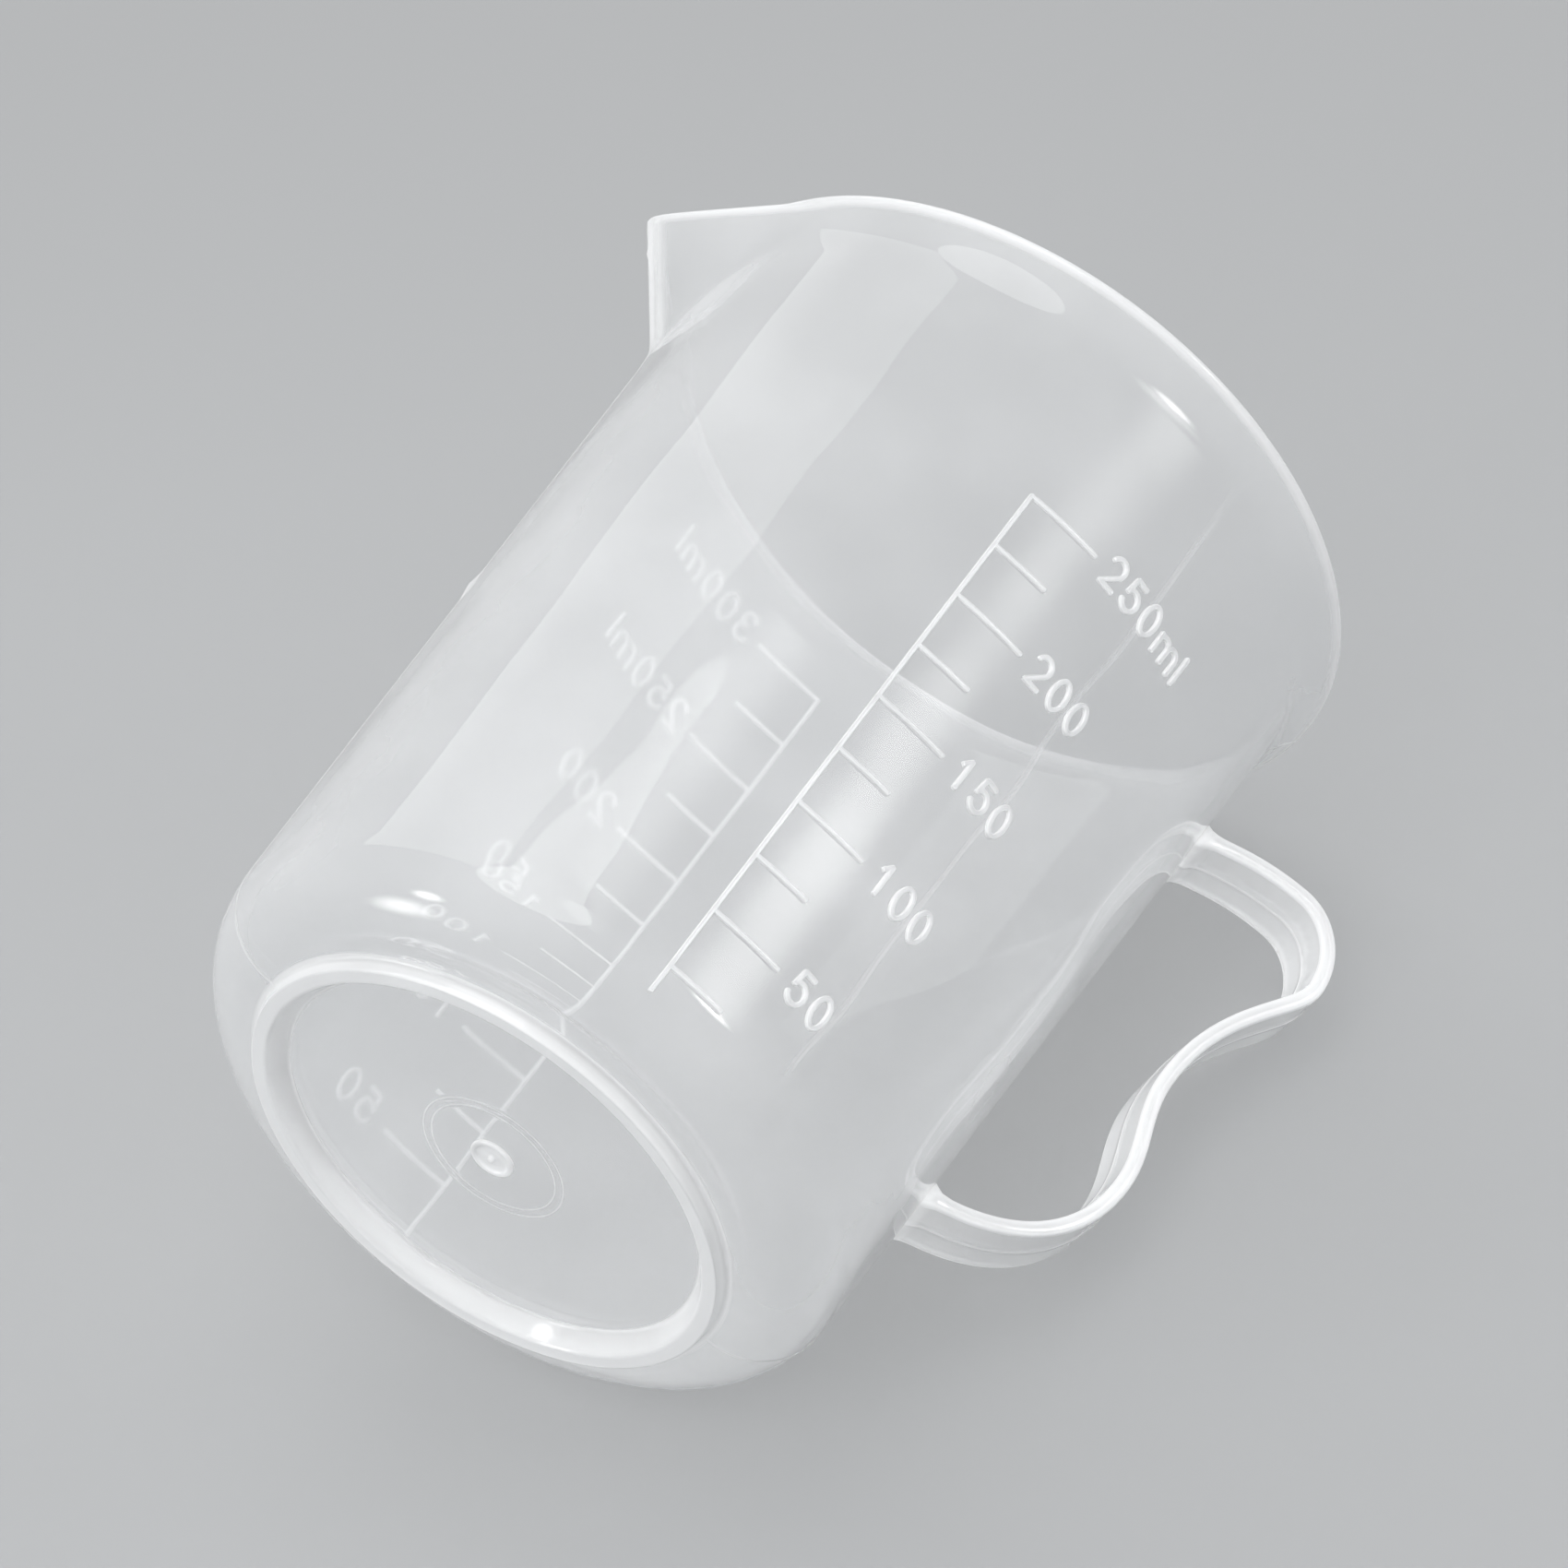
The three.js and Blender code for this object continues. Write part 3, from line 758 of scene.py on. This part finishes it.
def plastic(name, clear, rough, weld=False):
    """Hazy clear plastic: whiter where the haze attribute is high and towards its silhouettes, with a
    lightly uneven skin; the whitening at silhouettes is partly the longer path through the wall,
    partly a painted bright edge.
    """
    mat = bpy.data.materials.new(name)
    mat.use_nodes = True
    tree = mat.node_tree
    shader = tree.nodes["Principled BSDF"]
    coords = node(tree, "ShaderNodeTexCoord").outputs["Object"]
    haze_and_painted_light = node(tree, "ShaderNodeAttribute", attribute_name="haze_and_painted_light").outputs["Fac"]
    cloud = noise_node(tree, coords, CLOUD_SCALE, 3)
    relief = noise_node(tree, coords, WAVE_SCALE, 1)
    uneven = math_node(tree, "ADD", haze_and_painted_light, map_node(tree, cloud, *CLOUD_RANGE, -CLOUD_HAZE, CLOUD_HAZE))
    if weld:
        line = weld_line(tree, coords)
        uneven = math_node(tree, "ADD", uneven, math_node(tree, "MULTIPLY", line, WELD_HAZE))
        relief = math_node(tree, "ADD", relief, math_node(tree, "MULTIPLY", line, WELD_RELIEF))
    # whiter at grazing view: partly the longer path through the wall, partly a painted bright edge
    # against the backdrop
    slant = node(tree, "ShaderNodeLayerWeight").outputs["Facing"]
    uneven = math_node(tree, "ADD", uneven, map_node(tree, slant, SLANT_FROM, 1.0, 0.0, SLANT_PAINTED_EDGE_HAZE))
    see = map_node(tree, uneven, 0.0, 1.0, clear, LEAST_CLEAR)
    tree.links.new(see, shader.inputs["Transmission Weight"])
    tone = node(tree, "ShaderNodeMix", data_type="RGBA")
    tone.inputs["A"].default_value = CLEAR_TONE
    tone.inputs["B"].default_value = WHITE_TONE
    tree.links.new(uneven, tone.inputs["Factor"])
    tree.links.new(tone.outputs["Result"], shader.inputs["Base Color"])
    gloss = map_node(tree, cloud, *CLOUD_RANGE, rough - 0.015, rough + 0.02)
    tree.links.new(gloss, shader.inputs["Roughness"])
    bump = node(tree, "ShaderNodeBump")
    set_in(bump, Strength=WAVE_STRENGTH, Distance=WAVE_DEPTH)
    tree.links.new(relief, bump.inputs["Height"])
    tree.links.new(bump.outputs["Normal"], shader.inputs["Normal"])
    set_in(shader, IOR=PLASTIC_IOR)
    # light for the shadow passes through almost whole
    through = node(tree, "ShaderNodeBsdfTransparent")
    through.inputs["Color"].default_value = SHADOW_TONE
    mix = node(tree, "ShaderNodeMixShader")
    tree.links.new(node(tree, "ShaderNodeLightPath").outputs["Is Shadow Ray"], mix.inputs["Fac"])
    tree.links.new(shader.outputs[0], mix.inputs[1])
    tree.links.new(through.outputs[0], mix.inputs[2])
    tree.links.new(mix.outputs[0], tree.nodes["Material Output"].inputs["Surface"])
    return mat


def weld_line(tree, coords):
    """A faint wandering flow line up the front wall, right of the numerals' middle."""
    split = node(tree, "ShaderNodeSeparateXYZ")
    tree.links.new(coords, split.inputs[0])
    x, y, z = split.outputs
    angle = math_node(tree, "ARCTAN2", y, math_node(tree, "SUBTRACT", x, AXIS_X * MM))
    drift = noise_node(tree, coords, WELD_WANDER_SCALE, 1)
    wander = map_node(tree, drift, 0.0, 1.0, -WELD_WANDER, WELD_WANDER)
    offset = math_node(tree, "ADD", math_node(tree, "SUBTRACT", angle, WELD_ANGLE), wander)
    width = math_node(tree, "ABSOLUTE", offset)
    line = map_node(tree, width, *WELD_HALF, 1.0, 0.0)
    above = map_node(tree, z, *WELD_LOW, 0.0, 1.0)
    below = map_node(tree, z, *WELD_TOP, 1.0, 0.0)
    return math_node(tree, "MULTIPLY", line, math_node(tree, "MULTIPLY", above, below))


# The pieces

def place(obj, material, slot, *nodes):
    obj.data.materials.append(material)
    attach(obj, "root")
    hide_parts(*nodes)


def lathe_mesh(name, profile, segments, haze_and_painted_light):
    points = []
    for i in range(segments):
        a = 2 * math.pi * i / segments
        points += [(r * math.cos(a), r * math.sin(a), z) for r, z in profile]
    return make_mesh(name, points, turned_faces(profile, segments), [haze_and_painted_light] * len(points))


def gate_profile():
    """Half section of the gate mark: a pip, a thin web and a ring, from the axis outwards."""
    top = RECESS_Z - SEAT
    low = top - 0.4
    web = top - 0.15
    out = [(0.0, top - 0.6), (0.2, top - 0.58), (0.33, top - 0.48), (0.38, web - 0.08), (0.55, web)]
    out += [(1.5, web), (1.68, web - 0.06), (1.74, low + 0.1), (1.85, low), (2.15, low)]
    out += [(2.27, low + 0.08), (2.3, low + 0.2), (2.3, top), (1.2, top), (0.0, top)]
    return out


GATE_SEGMENTS = 40
GATE_HAZE = 0.55

skin = plastic("clear_plastic", clear=0.88, rough=0.035, weld=True)
strap = plastic("handle_plastic", clear=0.85, rough=0.05)
mark = plastic("mark_plastic", clear=0.88, rough=0.05)

cup = new_object("beaker_cup", cup_mesh())
place(cup, skin, "clear_plastic", "cup")
handle = new_object("beaker_handle", handle_mesh())
place(handle, strap, "clear_plastic", "handle")
gate_mesh = lathe_mesh("beaker_gate_mark", gate_profile(), GATE_SEGMENTS, GATE_HAZE)
gate = new_object("beaker_gate_mark", gate_mesh)
place(gate, mark, "mark_plastic", "gate_mark")

glyphs = {g: glyph_shape(g) for g in "01235ml"}
all_heights = mark_heights()
FRONT = ("front", FRONT_MARKS, -math.pi / 2, FRONT_HAZE)
# the back copy carries painted brightness: a whiter haze than the front copy of the same marks
BACK = ("back", SCALE_STEPS, math.pi / 2, BACK_PAINTED_BRIGHT_HAZE)
for side, count, middle, white in (FRONT, BACK):
    heights = all_heights[:count]
    comb = bent(f"{side}_scale", scale_shape(heights), middle, 0.0, 0.0, SCALE_R, white)
    place(new_object(f"beaker_{side}_scale", comb), mark, "mark_plastic", f"{side}_scale")
    for k, z in enumerate(heights):
        if k % 2 == 0:
            continue
        volume = VOLUME_STEP * (k + 1)
        text = f"{volume}ml" if volume >= UNIT_FROM else str(volume)
        run = MARK_LONG + LABEL_GAP
        for spot, glyph in enumerate(text, 1):
            name = f"{side}_label_{volume}_{spot}"
            mesh = bent(name, glyphs[glyph], middle, run, z - BASELINE, wall_radius(z) + SEAT, white)
            place(new_object(f"beaker_{name}", mesh), mark, "mark_plastic", name)
            run += glyph_width(glyph) + GLYPH_GAP

# The pale table that the beaker lies on, seen only from its upper side

BACKDROP = (0.44, 0.445, 0.45, 1)
TABLE_DARK = (0.39, 0.395, 0.40, 1)
TABLE_LIGHT = (0.41, 0.415, 0.42, 1)
TABLE_TURN = math.radians(52.2)
TABLE_SLOPE = 0.0426
TABLE_OFFSET = 33.6
TABLE_GAP = 0.3
TABLE_REACH = 4000
TABLE_ROUGH = 0.7
TABLE_CLOUD_SCALE = 6
TABLE_FADE = (0.15, 0.4)


def table_material():
    mat = bpy.data.materials.new("table")
    mat.use_nodes = True
    tree = mat.node_tree
    shader = tree.nodes["Principled BSDF"]
    coords = node(tree, "ShaderNodeTexCoord").outputs["Object"]
    cloud = noise_node(tree, coords, TABLE_CLOUD_SCALE, 3)
    tone = node(tree, "ShaderNodeMix", data_type="RGBA")
    tone.inputs["A"].default_value = TABLE_DARK
    tone.inputs["B"].default_value = TABLE_LIGHT
    tree.links.new(cloud, tone.inputs["Factor"])
    tree.links.new(tone.outputs["Result"], shader.inputs["Base Color"])
    set_in(shader, Roughness=TABLE_ROUGH)
    # away from the beaker the table fades to the same pale tone as the backdrop
    even = node(tree, "ShaderNodeEmission")
    even.inputs["Color"].default_value = BACKDROP
    away = node(tree, "ShaderNodeVectorMath", operation="LENGTH")
    tree.links.new(coords, away.inputs[0])
    blend = node(tree, "ShaderNodeMixShader")
    fade = map_node(tree, away.outputs["Value"], *TABLE_FADE, 0.0, 1.0)
    tree.links.new(fade, blend.inputs["Fac"])
    tree.links.new(shader.outputs[0], blend.inputs[1])
    tree.links.new(even.outputs[0], blend.inputs[2])
    gone = node(tree, "ShaderNodeBsdfTransparent")
    mix = node(tree, "ShaderNodeMixShader")
    tree.links.new(node(tree, "ShaderNodeNewGeometry").outputs["Backfacing"], mix.inputs["Fac"])
    tree.links.new(blend.outputs[0], mix.inputs[1])
    tree.links.new(gone.outputs[0], mix.inputs[2])
    tree.links.new(mix.outputs[0], tree.nodes["Material Output"].inputs["Surface"])
    return mat


# the way down to the table, which the tapered beaker touches along its side
down = Vector((math.cos(TABLE_TURN), math.sin(TABLE_TURN), -TABLE_SLOPE)).normalized()
rest = Vector((AXIS_X, 0, 0)) + down * (TABLE_OFFSET / math.hypot(1, TABLE_SLOPE) + TABLE_GAP)
across = Vector((0, 0, 1)).cross(down).normalized() * TABLE_REACH
along = down.cross(across)
corners = [rest - across - along, rest + across - along, rest + across + along, rest - across + along]
floor_mesh = bpy.data.meshes.new("table")
floor_mesh.from_pydata([c * MM for c in corners], [], [(0, 1, 2, 3)])
floor_mesh.update()
if floor_mesh.polygons[0].normal.dot(down) > 0:
    floor_mesh.flip_normals()
floor = new_object("table", floor_mesh)
floor.data.materials.append(table_material())

# Light

LAMP_AIM = Vector((AXIS_X, 0, 50))
SKY = (0.96, 0.98, 1.0, 1)
SKY_LEVEL = 0.5


def direction(azimuth, elevation):
    turn, rise = math.radians(azimuth), math.radians(elevation)
    return Vector((math.cos(turn) * math.cos(rise), math.sin(turn) * math.cos(rise), math.sin(rise)))


def soft_lamp(name, azimuth, elevation, width, height, level, fading=False, mirrored=True, oval=False):
    """A flat lamp a metre away, facing the beaker; level is its brightness as a surface."""
    data = bpy.data.lights.new(name, "AREA")
    data.shape = "ELLIPSE" if oval else "RECTANGLE"
    data.size = width
    data.size_y = height
    data.energy = level * math.pi * width * height * (math.pi / 4 if oval else 1)
    if fading:
        fade_lamp(data)
    lamp = bpy.data.objects.new(name, data)
    bpy.context.scene.collection.objects.link(lamp)
    way = direction(azimuth, elevation)
    lamp.location = LAMP_AIM * MM + way
    lamp.rotation_euler = way.to_track_quat("Z", "Y").to_euler()
    # lamps show as reflections only, never through the plastic
    lamp.visible_glossy = mirrored
    lamp.visible_transmission = False
    return lamp


def fade_lamp(data):
    """Makes a lamp bright in the middle and dark at its edge."""
    data.use_nodes = True
    tree = data.node_tree
    spread = node(tree, "ShaderNodeVectorMath", operation="DISTANCE")
    tree.links.new(node(tree, "ShaderNodeNewGeometry").outputs["Parametric"], spread.inputs[0])
    spread.inputs[1].default_value = (0.5, 0.5, 0.0)
    soft = node(tree, "ShaderNodeMapRange", interpolation_type="SMOOTHERSTEP")
    tree.links.new(spread.outputs["Value"], soft.inputs["Value"])
    set_in(soft, From_Min=0.0, From_Max=0.5, To_Min=1.0, To_Max=0.0)
    tree.links.new(soft.outputs["Result"], tree.nodes["Emission"].inputs["Strength"])


# Each lamp: azimuth and elevation in degrees, width and height in metres, level
soft_lamp("main", -122, -32, 0.7, 0.7, 3.0, mirrored=False)
soft_lamp("fill", -25, -5, 0.7, 0.7, 1.5, mirrored=False)
soft_lamp("glow", -71, 27.5, 0.54, 0.34, 4.4, fading=True)
soft_lamp("cove_glint", -70, 20.5, 0.36, 0.22, 14, fading=True)
soft_lamp("window", -64, 38, 0.5, 0.24, 2.6, fading=True)
soft_lamp("card", 190, 32, 0.74, 0.7, 1.0)
soft_lamp("cove_card", -131, 9.5, 0.68, 0.74, 2.0, oval=True)
soft_lamp("heel_glint", 173, -46, 0.5, 0.4, 9, fading=True)
soft_lamp("foot_glint", -167, -34.5, 0.24, 0.22, 14, fading=True)

# A soft sky lights the part; cameras, mirrors and clear plastic see the pale backdrop instead
world = bpy.data.worlds.new("studio")
bpy.context.scene.world = world
world.use_nodes = True
tree = world.node_tree
back = tree.nodes["Background"]
back.inputs["Color"].default_value = SKY
back.inputs["Strength"].default_value = SKY_LEVEL
pale = node(tree, "ShaderNodeBackground")
pale.inputs["Color"].default_value = BACKDROP
pale.inputs["Strength"].default_value = 1.0
path = node(tree, "ShaderNodeLightPath")
seen = math_node(tree, "MAXIMUM", path.outputs["Is Camera Ray"], path.outputs["Is Glossy Ray"])
seen = math_node(tree, "MAXIMUM", seen, path.outputs["Is Transmission Ray"])
mix = node(tree, "ShaderNodeMixShader")
tree.links.new(seen, mix.inputs["Fac"])
tree.links.new(back.outputs[0], mix.inputs[1])
tree.links.new(pale.outputs[0], mix.inputs[2])
tree.links.new(mix.outputs[0], tree.nodes["World Output"].inputs["Surface"])

# Camera at the photograph's place

CAMERA_LENS = 198.76
CAMERA_DISTANCE = 822.5
CAMERA_AZIMUTH = -93.52
CAMERA_ELEVATION = -32.94
CAMERA_ROLL = math.radians(37.58)
CAMERA_AIM = Vector((AXIS_X + 0.1, -2.76, 52.24))
camera_data = bpy.data.cameras.new("camera")
camera_data.sensor_width = 36
camera_data.sensor_fit = "HORIZONTAL"
camera_data.lens = CAMERA_LENS
camera_data.clip_start = 0.01
camera_data.clip_end = 20
camera = bpy.data.objects.new("camera", camera_data)
bpy.context.scene.collection.objects.link(camera)
way = direction(CAMERA_AZIMUTH, CAMERA_ELEVATION)
facing = way.to_track_quat("Z", "Y") @ Quaternion((0, 0, 1), CAMERA_ROLL)
camera.matrix_world = Matrix.LocRotScale((CAMERA_AIM + way * CAMERA_DISTANCE) * MM, facing, None)
bpy.context.scene.camera = camera
bpy.context.scene.view_settings.view_transform = "Standard"
